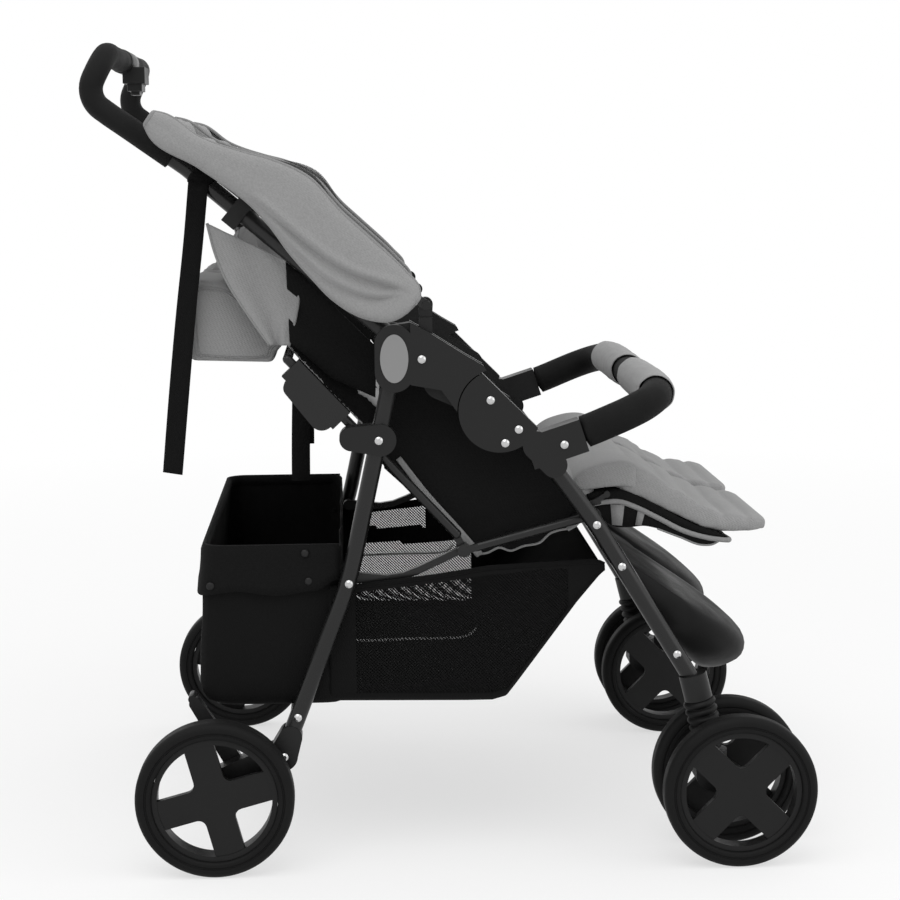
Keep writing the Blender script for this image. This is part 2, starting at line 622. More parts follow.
def stuff(piece, sewn, pressure, cap):
    """Blows the cover up with cloth pressure. Sewn points stay, and no point moves further than cap."""
    rest = coords(piece.data)
    rows = piece.vertex_groups.new(name="sewn")
    rows.add([int(i) for i in np.flatnonzero(sewn)], 1.0, "REPLACE")
    cover = piece.modifiers.new("stuffing", "CLOTH")
    setting = cover.settings
    setting.quality, setting.mass = 5, 0.15
    setting.tension_stiffness = setting.compression_stiffness = 12
    setting.shear_stiffness, setting.bending_stiffness = 4, 0.3
    setting.use_pressure, setting.uniform_pressure_force = True, pressure
    setting.vertex_group_mass = "sewn"
    setting.effector_weights.gravity = 0
    cover.collision_settings.use_collision = False
    cover.point_cache.frame_start, cover.point_cache.frame_end = 1, STUFFING_FRAMES
    for step in range(1, STUFFING_FRAMES + 1):
        scene.frame_set(step)
    swollen = coords(piece.evaluated_get(bpy.context.evaluated_depsgraph_get()).data)
    piece.modifiers.remove(cover)
    scene.frame_set(1)
    piece.vertex_groups.clear()
    move = swollen - rest
    far = np.linalg.norm(move, axis=1, keepdims=True)
    set_coords(piece.data, rest + move * np.minimum(1, cap * MM / np.maximum(far, 1e-9)))


def mirror_piece(piece, name, body):
    mesh = bmesh.new()
    mesh.from_mesh(piece.data)
    bmesh.ops.scale(mesh, vec=(1, -1, 1), verts=mesh.verts)
    bmesh.ops.reverse_faces(mesh, faces=mesh.faces)
    data = bpy.data.meshes.new(name)
    mesh.to_mesh(data)
    mesh.free()
    for finish in piece.data.materials:
        data.materials.append(finish)
    other = bpy.data.objects.new(name, data)
    scene.collection.objects.link(other)
    for old in piece.modifiers:
        new = other.modifiers.new(old.name, old.type)
        for key in ("levels", "render_levels", "thickness", "offset"):
            if hasattr(old, key):
                setattr(new, key, getattr(old, key))
    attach(other, body)
    return other


def stuffed_pad(name, outline, low, high, matrix, rows, body, finishes, tops, taper=None, voxel=5.5, pressure=4.0,
                cap=9.0, depth=4.0, wall=None):
    """A pad on the near side: rows are the sewn lines across it, tops says which way its soft face looks."""
    outline = [(u, -y) for u, y in outline]
    mesh = remeshed(name, prism(outline, low, high, matrix, taper), voxel, 4)
    piece = make_piece(name, mesh, finishes)
    back = np.array(matrix.inverted())
    points = coords(piece.data)
    local = (points @ back[:3, :3].T + back[:3, 3]) / MM
    middle = (low + high) / 2
    soft = (local[:, 2] - middle) * tops > 0 if taper is None else local[:, 2] > low + 8
    sewn = ~soft & ((local[:, 2] - middle) * tops < -0.25 * abs(high - low))
    for row in rows:
        near = np.exp(-(((local[:, 0] - row) / 4.5) ** 2))
        local[:, 2] -= soft * near * depth * tops
        sewn |= soft & (np.abs(local[:, 0] - row) < 2.6)
    forward = np.array(matrix)
    set_coords(piece.data, (local * MM) @ forward[:3, :3].T + forward[:3, 3])
    stuff(piece, sewn, pressure, cap)
    if wall is not None:
        for polygon in piece.data.polygons:
            if abs(polygon.normal.y) > wall:
                polygon.material_index = 1
    piece.data.polygons.foreach_set("use_smooth", [True] * len(piece.data.polygons))
    round_out = piece.modifiers.new("round_out", "SUBSURF")
    round_out.levels = round_out.render_levels = 1
    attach(piece, body)
    return piece


def rounded(points, radius, steps=5):
    """Rounds the corners of an outline."""
    out = []
    for i, p in enumerate(points):
        a, b, c = (np.array(q, float) for q in (points[i - 1], p, points[(i + 1) % len(points)]))
        r = min(radius, 0.45 * np.linalg.norm(a - b), 0.45 * np.linalg.norm(c - b))
        start, stop = b + (a - b) / np.linalg.norm(a - b) * r, b + (c - b) / np.linalg.norm(c - b) * r
        for k in range(steps + 1):
            s = k / steps
            out.append(tuple(start * (1 - s) ** 2 + b * 2 * s * (1 - s) + stop * s**2))
    return out


# %% Seat pads
SEAT_Y0, SEAT_Y1 = 12, 271
seat_outline = rounded([(46, SEAT_Y0 + 3), (46, SEAT_Y1 - 3), (184, SEAT_Y1 - 5), (184, SEAT_Y0 + 5)], 22)
seat_rows = [81.5, 113, 145]
seat_near = stuffed_pad("seat_cushion_r", seat_outline, 15, 47, SEAT, seat_rows, "seat", GREY_CLOTH, 1)
seat_far = mirror_piece(seat_near, "seat_cushion_l", "seat")
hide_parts("seat_pads")
print("seat cushion points:", len(seat_near.data.vertices))

# %% Backrests
back_outline = rounded([(61, 19), (61, 268), (312, 268), (346, 244), (450, 243), (450, 19)], 26)
back_rows = [102, 146, 190, 234, 278, 322, 366, 410]
back_near = stuffed_pad("back_cushion_r", back_outline, -46, -14.5, BACK, back_rows, "back_r",
                        [GREY_CLOTH, BLACK_CLOTH], -1, wall=0.6)
back_far = mirror_piece(back_near, "back_cushion_l", "back_l")
for pad, tag in ((back_near, "r"), (back_far, "l")):
    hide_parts("backrest_" + tag)
print("back cushion points:", len(back_near.data.vertices))


# %% Leg rests
BEND_X, BEND_DROP = [210, 245, 279, 328, 355, 395, 416], [0, -4, -13, -25, -25, -15, -10]
LEG_U, LEG_TOP = [0, 30, 60, 120, 216], [40, 50, 50, 42, 24]


def bend_down(piece):
    """The leg rest curves down below a straight board."""
    points = coords(piece.data)
    points[:, 2] += np.interp(points[:, 0] / MM, BEND_X, BEND_DROP) * MM
    set_coords(piece.data, points)


leg_outline = rounded([(8, 15), (8, 268), (120, 266), (216, 258), (216, 25), (120, 17)], 24)
leg_near = stuffed_pad("leg_cushion_r", leg_outline, 9, 40, CALF, [76, 114, 150, 184], "calf_r", GREY_CLOTH, 1,
                       taper=lambda u: float(np.interp(u, LEG_U, LEG_TOP)), depth=3.0, cap=8.0)
bend_down(leg_near)
leg_far = mirror_piece(leg_near, "leg_cushion_l", "calf_l")
for pad, tag in ((leg_near, "r"), (leg_far, "l")):
    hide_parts("leg_rest_" + tag)
print("leg cushion points:", len(leg_near.data.vertices))

# %% [markdown]
# ## What carries each leg rest
# Seen from the side the leg rest is a stack: the cushion, a black board in cloth, a pale piping, and
# a second black layer that is strapped to it. Each layer is one closed side profile that travels
# across the seat and draws in at both ends. A grey cover closes the gap over the hinge and stretches
# as the leg rest goes down.

# %% Layers under the leg rests
BOARD_TOP = [(176, 466), (200, 469), (226, 469), (252, 458), (279, 443), (304, 429), (328, 417), (348, 409),
             (356, 405.5)]
BOARD_PIPE = [(180, 452), (200, 455), (219, 455), (239, 448), (266, 434.5), (305, 414.5), (336, 405.5), (359, 402.5)]
BOARD_LOW = [(203, 428), (212, 423), (231, 421.5), (251, 423), (268, 419), (297, 407.5), (327, 396.5), (340, 397),
             (348, 401)]
LAYER_TOP_END = (346, 403.5)
KEEPERS = ([(207, 452), (225, 451), (222, 424), (209, 425)], [(243, 446), (252, 442), (247, 424), (239, 424)])
LAYER_Y = [(19, 0.9), (20.5, 0.97), (24, 1.0), (80, 1.0), (142, 1.0), (204, 1.0), (260, 1.0), (263.5, 0.97), (265, 0.9)]


def side_layer(upper, lower, count=40):
    """A closed profile between two smooth edges."""
    top, low = (on_side_plane(line, count) for line in (upper, lower))
    return [(p.x, p.z) for p in top] + [(p.x, p.z) for p in low[::-1]]


def travel(mesh, profile, side, stations=LAYER_Y):
    """Takes a side profile across the seat. Each station has its place and how far the profile draws in."""
    mid_x, mid_z = np.mean(profile, axis=0)
    loft(mesh, [[mm(mid_x + (x - mid_x) * (0.97 + 0.03 * k), y * side, mid_z + (z - mid_z) * k) for x, z in profile]
                for y, k in stations])


for side, tag in SIDES:
    mesh = bmesh.new()
    travel(mesh, side_layer(BOARD_TOP, [(x, z + 1.5) for x, z in BOARD_PIPE]), side)
    travel(mesh, side_layer([(x, z - 1.5) for x, z in BOARD_PIPE[:-1] + [LAYER_TOP_END]], BOARD_LOW), side)
    board = make_piece("leg_board_" + tag, mesh, BLACK_CLOTH, "calf_" + tag)
    mesh = bmesh.new()
    edge = [mm(x, 20 * side, z) for x, z in BOARD_PIPE] + [mm(360, y * side, 402) for y in (60, 142, 224)]
    edge += [mm(x, 265 * side, z) for x, z in BOARD_PIPE[::-1]]
    loft(mesh, tube_rings(smooth_path(edge, 170), 3.4 * MM, 10))
    low_edge = [mm(x, 264.5 * side, z) for x, z in BOARD_LOW[4:]]
    loft(mesh, tube_rings(smooth_path(low_edge, 40), 1.3 * MM, 8))
    pipe = make_piece("leg_piping_" + tag, mesh, PIPING, "calf_" + tag)
    mesh = bmesh.new()
    for corners in KEEPERS:
        bmesh.ops.contextual_create(mesh, geom=[mesh.verts.new(mm(x, 265.6 * side, z)) for x, z in corners])
    keeper = make_piece("leg_keepers_" + tag, mesh, PIPING, "calf_" + tag, thickness=1.6)
print("leg rest layers made")

# %% Covers over the leg rest hinges
HINGE_TOP = [(158, 486), (172, 497), (190, 504), (208, 508), (226, 508), (240, 504)]
HINGE_LOW = [(150, 466), (168, 469), (190, 472), (208, 474), (226, 474), (240, 470)]
HINGE_Y = [(16, 0.7), (18, 0.88), (22, 0.97), (30, 1.0)] + [(y, 1.0) for y in np.linspace(50, 240, 9)]
HINGE_Y += [(255, 1.0), (263, 0.97), (267, 0.88), (269, 0.7)]
for side, tag in SIDES:
    mesh = bmesh.new()
    travel(mesh, side_layer(HINGE_TOP, HINGE_LOW, 24), side, HINGE_Y)
    cover = make_piece("leg_hinge_cover_" + tag, mesh, GREY_CLOTH, levels=1)
    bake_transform(cover)
print("hinge covers made")

# %% [markdown]
# ## Folded canopies
# Each seat has a hood that fans open on a flat bow. Folded back, its cloth lies along the push tube:
# a leaf on the outer side, one at the middle, and the roof gathered in rolls between them.
# A leaf is a crowned sheet lofted from its lower edge to its upper edge. Only a narrow band of it
# spreads when the hood opens, so its rows are close together there, and the roof unrolls to meet it.

# %% Canopy leaves
LEAF_UP = [(12, -3), (21, -13), (44, -19), (110, -29), (148, -34), (208, -47), (257, -38), (287, -27), (342, -12),
           (392, -11), (404, -6)]
LEAF_LOW = [(12, 4), (14, 16), (25, 39), (54, 55), (96, 58.5), (135, 51), (174, 41), (212, 27.5), (242, 20), (322, 17),
            (392, 19), (404, 12)]
FIRST_FOLD = [(12, -1), (31, 0), (102, 18.7), (240, 12.6), (404, 9)]
SECOND_FOLD = [(12, 1), (22, 3), (60, 28), (111, 41), (166, 36), (240, 20), (404, 14)]
LEAF_ENDS = (12.5, 403.5)
BAND, BAND_ROWS = (16.0, 0.0), (0.38, 0.74)


def edge_line(points):
    """A smooth edge: gives w for any u."""
    line = on_side_plane(points, 160)
    return lambda u: float(np.interp(u, [p.x for p in line], [p.z for p in line]))


leaf_up, leaf_low, first_fold, second_fold = (edge_line(p) for p in (LEAF_UP, LEAF_LOW, FIRST_FOLD, SECOND_FOLD))


def soft_step(x, start, stop):
    s = min(max((x - start) / (stop - start), 0), 1)
    return s * s * (3 - 2 * s)


def leaf_point(u, t, flat, bulge):
    """t runs from the lower edge to the upper one. Its middle part is the band that fans out."""
    low, up = leaf_low(u), leaf_up(u)
    w = float(np.interp(t, [0, *BAND_ROWS, 1], [low, min(BAND[0], low), min(BAND[1], low), up]))
    across = (low - w) / (low - up)
    crown = math.sqrt(max(1 - abs(2 * across - 1) ** 3, 0)) * min(1, (low - up) / 18)
    y = flat + bulge * crown
    if bulge > 3:
        for fold, drop, start, stop in ((first_fold(u), 8.5, 22, 262), (second_fold(u), 7.5, 26, 235)):
            share = soft_step(u, start, start + 34) * (1 - soft_step(u, stop - 36, stop))
            hollow = drop * math.exp(-max(w - fold, 0) / 17) / (1 + math.exp(min((fold - w) / 1.0, 40)))
            y += share * (2.6 * math.exp(-(((w - fold + 5) / 5) ** 2)) - hollow)
        y += 2.0 * noise.noise(Vector((u * 0.016, w * 0.03, 1.0))) * crown
    return HOOD @ mm(u, y, w)


def runs(*parts):
    """Places along a line, part after part: each part has its start, its end and its count."""
    places = [np.linspace(*part) for part in parts]
    return np.concatenate([run[:-1] for run in places[:-1]] + places[-1:])


LEAF_ROWS = runs((0, BAND_ROWS[0], 24), (*BAND_ROWS, 24), (BAND_ROWS[1], 1, 16))
for side, tag in SIDES:
    for label, flat, bulge in (("side", 336.6, 9), ("inner", 11, 2)):
        mesh = bmesh.new()
        rows = []
        for t in LEAF_ROWS:
            row = [leaf_point(u, t, flat, bulge) for u in np.linspace(*LEAF_ENDS, 130)]
            rows.append([Vector((p.x, p.y * side, p.z)) for p in row])
        loft(mesh, rows, closed=False)
        leaf = make_piece(f"canopy_{label}_{tag}", mesh, GREY_CLOTH, thickness=2.4)
        mesh = bmesh.new()
        outline = rows[0] + [row[-1] for row in rows[1:-1]] + rows[-1][::-1] + [row[0] for row in rows[-2:0:-1]]
        loft(mesh, tube_rings(outline + outline[:1], 2.6 * MM, 8), caps=False)
        hem = make_piece(f"canopy_{label}_hem_{tag}", mesh, PIPING)
        for piece in (leaf, hem):
            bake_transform(piece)
        if label == "side":
            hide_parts("canopy_cloth_" + tag)

# %% Crown hems and the net above the leaf
for side, tag in SIDES:
    mesh = bmesh.new()
    crown_line = [HOOD @ mm(391.5, y * side, 1.5) for y in np.linspace(5, 341, 60)]
    loft(mesh, tube_rings(crown_line, lambda share, a: (10.5 + 0.8 * math.sin(share * 40) * math.cos(a)) * MM, 24,
                          seam=(0, 0, 1)))
    crown = make_piece("canopy_crown_" + tag, mesh, GREY_CLOTH, "hood_" + tag)
    mesh = bmesh.new()
    rows = []
    for s in np.linspace(0, 1, 18):
        row = []
        for u in np.linspace(136, 286, 34):
            rise = 12 * math.sin(math.pi * (u - 136) / 150) * math.sin(math.pi * min(1, 0.08 + 1.1 * s))
            row.append(HOOD @ mm(u, (335 - 96 * s) * side, leaf_up(u) + 3 - rise + 8 * s))
        rows.append(row)
    loft(mesh, rows, closed=False)
    net_strip = make_piece("canopy_net_" + tag, mesh, HOOD_NET, "hood_" + tag, thickness=0.8)
print("canopy leaves made")


# %% Canopy roofs
ROOF_Y = runs((12, 44, 8), (44, 299, 26), (299, 331, 8))


def roof_point(share, y, side):
    u = 236 + 150 * share
    w = BAND[0] * (1 - share)
    edge = min(y - 12, 331 - y) / 26
    rolls = abs(math.sin(share * 3.5 * math.pi + 0.2)) ** 0.8 * (1 - 0.55 * share)
    lift = 26 * rolls * math.sqrt(min(1, max(edge, 0)))
    ripple = 1.6 * noise.noise(Vector((share * 9, y * 0.02, side)))
    return HOOD @ mm(u, y * side, w - lift - ripple * min(1, max(edge, 0)))


for side, tag in SIDES:
    mesh = bmesh.new()
    loft(mesh, [[roof_point(s, y, side) for y in ROOF_Y] for s in np.linspace(0, 1, 60)], closed=False)
    roof = make_piece("canopy_roof_" + tag, mesh, GREY_CLOTH, thickness=2.4, levels=1)
    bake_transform(roof)
print("canopies made")

# %% [markdown]
# ## Cut cloth
# The wings, the walls beside the seat and the side panels are flat cuts of cloth that hang in folds.
# A seamstress cuts an outline first, so the outline is filled, sliced into small squares with
# Bisect, and each point is then pushed sideways by a fold formula. Solidify gives the thickness.


# %% Cut cloth helpers
def cut_cloth(mesh, outline, square, sideways):
    """Fills an outline in the side plane and slices it into squares. sideways(x, z) gives each point's y."""
    corners = [mesh.verts.new(mm(x, 0, z)) for x, z in outline]
    face = bmesh.ops.contextual_create(mesh, geom=corners)["faces"]
    bmesh.ops.triangulate(mesh, faces=face)
    for axis in (0, 2):
        places = [v.co[axis] for v in mesh.verts]
        normal = Vector((axis == 0, 0, axis == 2))
        for at in np.arange(min(places) + square * MM / 2, max(places), square * MM):
            everything = mesh.verts[:] + mesh.edges[:] + mesh.faces[:]
            bmesh.ops.bisect_plane(mesh, geom=everything, plane_co=normal * at, plane_no=normal, dist=1e-6)
    for vert in mesh.verts:
        vert.co.y = sideways(vert.co.x / MM, vert.co.z / MM) * MM
    return mesh


def mirrored_mesh(mesh):
    other = mesh.copy()
    bmesh.ops.scale(other, vec=(1, -1, 1), verts=other.verts)
    return other


# %% [markdown]
# ## Behind and beside the seats
# A rear curtain hangs from the stay tube to the top of each backrest. A grey wing drops from the
# push tube beside it, and a black wall closes the side of the seat. Behind each backrest sits a
# flat pocket with a sewn hem. The wing is narrow at its foot, so its folds run together there.

# %% Rear curtains
STAY_X, STAY_Z, CURTAIN_DROP = -262, 809.5, 53
for side, tag in SIDES:
    mesh = bmesh.new()
    rows = []
    for s in np.linspace(0, 1, 14):
        row = []
        for y in np.linspace(12, 268, 60):
            back = 36 - 30 * soft_step(y, 215, 262)
            wave = 2.4 * math.sin(y * 0.17) * s + 1.6 * noise.noise(Vector((y * 0.03, s * 2, side)))
            row.append(mm(STAY_X - back * s**0.9 + wave, y * side, STAY_Z - CURTAIN_DROP * s))
        rows.append(row)
    loft(mesh, rows, closed=False)
    curtain = make_piece("rear_curtain_" + tag, mesh, GREY_CLOTH, "frame", thickness=2.0)
    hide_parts("curtain_" + tag)
    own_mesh(curtain)
print("rear curtains made")

# %% Side wings
WING_LEFT = [(-301, 817), (-292, 780), (-279, 747), (-252, 702), (-226, 664)]
WING_RIGHT = [(-207, 771), (-194, 757), (-189, 727), (-194, 694), (-202, 663)]
left_line, right_line = on_side_plane(WING_LEFT, 40), on_side_plane(WING_RIGHT, 40)
for side, tag in SIDES:
    mesh = bmesh.new()
    rows = []
    for i, (a, b) in enumerate(zip(left_line, right_line)):
        t = i / 39
        row = []
        for s in np.linspace(0, 1, 34):
            spread = (0.45 + 0.55 * t) * math.sin(math.pi * min(1, 0.15 + s))
            fold = 4.2 * math.sin(2 * math.pi * (1.35 * s + 0.12 * t)) * spread
            soft = 2.0 * noise.noise(Vector((s * 3, t * 3.5, 2.0)))
            p = a.lerp(b, s)
            row.append(mm(p.x, (275.5 + fold + soft) * side, p.z))
        rows.append(row)
    loft(mesh, rows, closed=False)
    wing = make_piece("side_wing_" + tag, mesh, GREY_CLOTH, "frame", thickness=2.2)
    mesh = bmesh.new()
    for s in (0, 33):
        loft(mesh, tube_rings([row[s] for row in rows], 2.0 * MM, 8))
    binding = make_piece("side_wing_binding_" + tag, mesh, PIPING, "frame")
print("side wings made")


# %% Black walls beside the seat
def wall_fold(x, z):
    crease = 3.0 * math.sin((x * 0.7 + z) * 0.085) + 2.2 * noise.noise(Vector((x * 0.02, 0, z * 0.02)))
    return -(276 + crease)


WALL = [(-204, 768), (-190, 757), (-92, 660), (-94, 596), (-150, 622), (-201, 668)]
near_wall = cut_cloth(bmesh.new(), WALL, 7, wall_fold)
far_wall = mirrored_mesh(near_wall)
for mesh, tag in ((near_wall, "r"), (far_wall, "l")):
    wall = make_piece("seat_wall_" + tag, mesh, BLACK_CLOTH, "frame", thickness=2.0)
print("seat walls made")

# %% Pockets behind the backrests
POCKET = rounded([(344, -12.6), (453, -12.6), (489, 18), (412, 90), (337, 14), (343.5, 2)], 11, 4)
POCKET_MIDDLE = np.mean(POCKET, axis=0)


def pocket_ring(y, side, shrink, push=0.0):
    ring = []
    for u, w in POCKET:
        gather = 1.8 * noise.noise(Vector((u * 0.035, y * 0.03, w * 0.035)))
        pull = (Vector((u, w)) - Vector(POCKET_MIDDLE)) * shrink
        out = pull.normalized() * (gather if w > 4 else 0)
        ring.append(BACK @ mm(POCKET_MIDDLE[0] + pull.x + out.x, (y + push) * side, POCKET_MIDDLE[1] + pull.y + out.y))
    return ring


POCKET_Y = [(29, 0.90), (30.5, 0.955), (34, 0.985)] + [(y, 1.0) for y in np.linspace(42, 220, 22)]
POCKET_Y += [(229, 0.985), (232, 0.955), (233.5, 0.90)]
for side, tag in SIDES:
    mesh = bmesh.new()
    loft(mesh, [pocket_ring(y, side, k) for y, k in POCKET_Y])
    pocket = make_piece("back_pocket_" + tag, mesh, GREY_CLOTH, "back_" + tag)
    mesh = bmesh.new()
    for inset in (0.86, 0.80):
        rim = pocket_ring(233.5, side, inset, 0.4)
        loft(mesh, tube_rings(smooth_path(rim + rim[:1], 120), 0.7 * MM, 6), caps=False)
    stitch = make_piece("back_pocket_stitch_" + tag, mesh, PIPING, "back_" + tag)
    for piece in (pocket, stitch):
        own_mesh(piece)
print("pockets made")

# %% [markdown]
# ## The side panels
# Under each arm a black panel closes the seat. Its lower edge is a little slack, so it hangs in
# scallops, and a pale binding shows along the rear edge and at both corners. A padded divider
# stands between the two seats.

# %% Side panels
PANEL_EDGE = [(36, 392), (47, 393), (63, 400), (76, 396), (92, 401), (114, 406), (127, 417), (139, 421), (153, 424),
              (168, 437)]
PANEL_TOP = [(178, 450), (120, 533), (58, 543), (10, 613), (-53, 638), (-88, 640), (-91, 560), (-84, 505)]


def panel_fold(x, z):
    along = (x - 16) * 0.968 + (z - 401) * 0.25
    above = (z - 401) * 0.968 - (x - 16) * 0.25
    tuck = 2.6 * math.exp(-(((above - 24) / 9) ** 2))
    soft = 2.0 * noise.noise(Vector((x * 0.015, 5, z * 0.02)))
    scallop = 1.6 * math.sin(along * 0.14) * math.exp(-max(above + 10, 0) / 16)
    return -(275.6 - tuck + soft + scallop)


panel_outline = [(p.x, p.z) for p in on_side_plane(PANEL_EDGE, 36)] + PANEL_TOP
near_panel = cut_cloth(bmesh.new(), panel_outline, 7, panel_fold)
far_panel = mirrored_mesh(near_panel)
for mesh, tag in ((near_panel, "r"), (far_panel, "l")):
    panel = make_piece("seat_panel_" + tag, mesh, BLACK_CLOTH, "seat", thickness=2.2)
    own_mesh(panel)
    if tag == "r":
        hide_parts("side_panels")
print("side panels made")

# %% Panel bindings and the divider
REAR_BINDING = [(-66, 518), (-30, 470), (4, 430), (20, 411), (37, 391)]
FRONT_BINDING = [(150, 423), (160, 430), (169, 441)]


def flat_tape(widest):
    """Radius of a flat tape that grows a little wider along its way."""
    return lambda share, a: (widest * (0.72 + 0.28 * share) * math.sqrt(math.cos(a) ** 2 + 0.2)) * MM


for side, tag in SIDES:
    mesh = bmesh.new()
    for line, widest in ((REAR_BINDING, 4.6), (FRONT_BINDING, 4.8), (PANEL_EDGE, 1.5)):
        path = [mm(p.x, (panel_fold(p.x, p.z) - 1.5) * -side, p.z) for p in on_side_plane(line, 40)]
        size = flat_tape(widest) if widest > 2 else widest * MM
        loft(mesh, tube_rings(path, size, 12, seam=(0.7, 0, 0.7)))
    binding = make_piece("seat_panel_binding_" + tag, mesh, PIPING, "seat")
    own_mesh(binding)
mesh = bmesh.new()
DIVIDER = rounded([(46, 14.7), (112, 14.7), (118, 76), (54, 84)], 14, 4)
mid_u, mid_w = np.mean(DIVIDER, axis=0)
sections = [(-4.6, 0.88), (-3.4, 0.97), (0, 1.0), (3.4, 0.97), (4.6, 0.88)]
loft(mesh, [[SEAT @ mm(mid_u + (u - mid_u) * k, y, mid_w + (w - mid_w) * k) for u, w in DIVIDER] for y, k in sections])
divider = make_piece("seat_divider", mesh, BLACK_CLOTH, "seat", levels=1)
print("bindings and divider made")

# %% [markdown]
# ## The basket
# The storage basket is a cloth tub in two halves. The rear half is a box with a collar turned down
# over its rim, held by snaps. The front half runs to the foot tray with a sloping end, and its walls
# are net. A tub like this is lofted: rings go up the rear box, and a U-shaped line travels along
# the front half. A number on each point marks where the cloth is net, and the finish cuts holes there.


# %% Rear half of the basket
TUB_FRONT = -141


def resample(outline, count):
    """Evenly spaced points round a closed outline."""
    p = np.array(list(outline) + [outline[0]], float)
    t = np.concatenate([[0], np.cumsum(np.linalg.norm(np.diff(p, axis=0), axis=1))])
    at = np.linspace(0, t[-1], count, endpoint=False)
    return np.stack([np.interp(at, t, p[:, 0]), np.interp(at, t, p[:, 1])], axis=1)


def tub_ring(z, share=1.0):
    rear = float(np.interp(z, [203, 208, 226, 410], [-297, -313, -324, -313]))
    half = float(np.interp(z, [203, 209, 224, 410], [284, 293, 296, 296.5]))
    corners = [(rear, -half), (TUB_FRONT, -half), (TUB_FRONT, half), (rear, half)]
    middle_x, floor_sag = (rear + TUB_FRONT) / 2, 1.5 * (1 - share)
    ring = []
    for k, (x, y) in enumerate(resample(rounded(corners, 22), 140)):
        sag = 2.6 * noise.noise(Vector((x * 0.02, y * 0.012, z * 0.016))) * soft_step(z, 206, 240)
        rim = 3.2 * math.sin(k * 0.55) * soft_step(z, 385, 410) * (1 if y > -280 else 0.3)
        outward = Vector((float(x > -150) - float(x < rear + 8), float(y > half - 6) - float(y < 6 - half)))
        ring.append(mm(middle_x + (x - middle_x) * share + sag * outward.x, y * share + sag * outward.y,
                       z + rim - floor_sag))
    return ring


mesh = bmesh.new()
levels = [(205, k) for k in (0.05, 0.35, 0.65, 0.9)] + [(203.5, 1), (206, 1), (211, 1), (220, 1)]
loft(mesh, [tub_ring(z, k) for z, k in levels] + [tub_ring(z) for z in np.linspace(232, 408, 20)], caps=False)
rear_tub = make_piece("basket_rear_tub", mesh, BASKET_CLOTH, "rear_legs", thickness=1.8)
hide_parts("basket_rear")
print("rear tub points:", len(rear_tub.data.vertices))

# %% Collar and snaps
COLLAR = [(-2.5, 398), (-2.2, 406), (0.2, 412), (3, 411.5), (4.6, 405), (4.6, 392), (5.4, 376), (6.6, 362), (6.8, 351)]
COLLAR_LEAN = 0.065


def collar_path():
    """Along the near rim, round the rear and back along the far rim."""
    corner, rear, half = 24, -313, 297.5
    turn = np.linspace(0, math.pi / 2, 9)
    near = [(x, -half, 0, -1) for x in np.linspace(-143, rear + corner, 22)]
    near += [(rear + corner - corner * math.sin(a), -half + corner - corner * math.cos(a), -math.sin(a), -math.cos(a))
             for a in turn[1:]]
    across = [(rear, y, -1, 0) for y in np.linspace(-half + corner, half - corner, 50)[1:-1]]
    return near + across + [(x, -y, nx, -ny) for x, y, nx, ny in near[::-1]]


rim_path = collar_path()
mesh = bmesh.new()
rows = []
for out, z in COLLAR:
    row = []
    low = soft_step(410 - z, 4, 50)
    lean = COLLAR_LEAN * (410 - z)
    for k, (x, y, nx, ny) in enumerate(rim_path):
        wave = 2.8 * noise.noise(Vector((k * 0.22, z * 0.01, 0))) * low
        rise = 16 * soft_step(x, -172, -145) * low + 3.0 * math.sin(k * 0.42) * low
        row.append(mm(x + nx * (out + wave) - (lean if nx else 0), y + ny * (out + wave), z + rise))
    rows.append(row)
loft(mesh, rows, closed=False)
collar = make_piece("basket_turned_collar", mesh, BLACK_CLOTH, "rear_legs", thickness=2.2)
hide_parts("basket_collar")


def snap_button(mesh, centre, radius):
    """A domed snap: a short profile turned round the line that it faces along."""
    half_profile = [(0.0, 2.2), (0.45, 2.1), (0.8, 1.5), (1.0, 0.7), (1.0, 0.0)]
    facing = -math.copysign(1, -centre.y)
    verts = [mesh.verts.new(centre + Vector((radius * a, h * facing, 0)) * MM) for a, h in half_profile]
    edges = [mesh.edges.new(pair) for pair in zip(verts, verts[1:])]
    bmesh.ops.spin(mesh, geom=verts + edges, cent=centre, axis=(0, 1, 0), angle=2 * math.pi, steps=20, use_merge=True)


mesh = bmesh.new()
for side in (NEAR, FAR):
    for x, z in ((-306, 362), (-182, 366), (-186, 402)):
        snap_button(mesh, mm(x, 304.6 * side, z), 5.0)
snaps = make_piece("basket_snaps", mesh, PLASTIC, "rear_legs")
print("collar made")


# %% Front half of the basket
TUB_FLOOR = [-140, 20, 52, 70, 84, 190, 198], [204, 201, 201, 206, 224, 366, 374]
TUB_RIM = [-140, -118, -20, 49, 186, 198], [356, 357, 368, 378, 384, 378]
SEAM = [(-136, 286), (-100, 285), (-60, 286), (-10, 286), (12, 287), (24, 291), (31, 298)]


def tub_floor(x):
    return float(np.interp(x, *TUB_FLOOR))


def tub_rim(x):
    return float(np.interp(x, *TUB_RIM))


